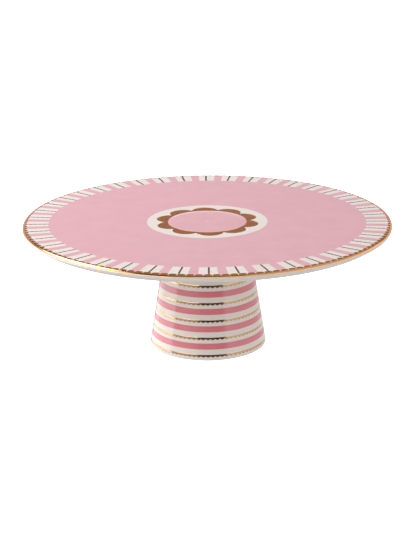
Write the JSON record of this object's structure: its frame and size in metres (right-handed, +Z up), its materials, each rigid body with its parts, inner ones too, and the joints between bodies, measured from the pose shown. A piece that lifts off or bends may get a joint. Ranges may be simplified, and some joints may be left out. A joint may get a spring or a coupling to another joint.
{
  "type": "cake stand",
  "caption": "Footed porcelain cake stand: a round dished plate on a hollow cone-shaped pedestal, with pink stripes, gilded scallops and a gilded flower medallion.",
  "frame": {"origin": "centre of the ring that the foot stands on, at the bottom of the object", "axes": "+Z up through the pedestal and the middle of the plate; +X towards a pink stripe of the rim"},
  "size_m": [0.28, 0.28, 0.0984],
  "materials": {
    "porcelain": "gloss white glaze",
    "pink_enamel": "gloss pink on-glaze colour",
    "rose_enamel": "gloss deep pink on-glaze colour",
    "gold": "bright fired gold",
    "fired_slip": "unglazed"
  },
  "bodies": {
    "root": {"plate": "porcelain", "pedestal": "porcelain", "luting_ring": "fired_slip", "pink_field": "pink_enamel", "centre_disc": "pink_enamel", "flower_gilding": "gold", "rim_gilding": "gold", "pink_band_1": "rose_enamel", "gold_line_1": "gold", "pink_band_2": "rose_enamel", "gold_line_2": "gold", "pink_band_3": "rose_enamel", "gold_line_3": "gold", "pink_band_4": "rose_enamel", "gold_line_4": "gold", "pink_band_5": "rose_enamel", "gold_line_5": "gold", "pink_band_6": "rose_enamel", "gold_line_6": "gold", "pink_band_7": "rose_enamel", "gold_line_7": "gold"}
  },
  "joints": []
}
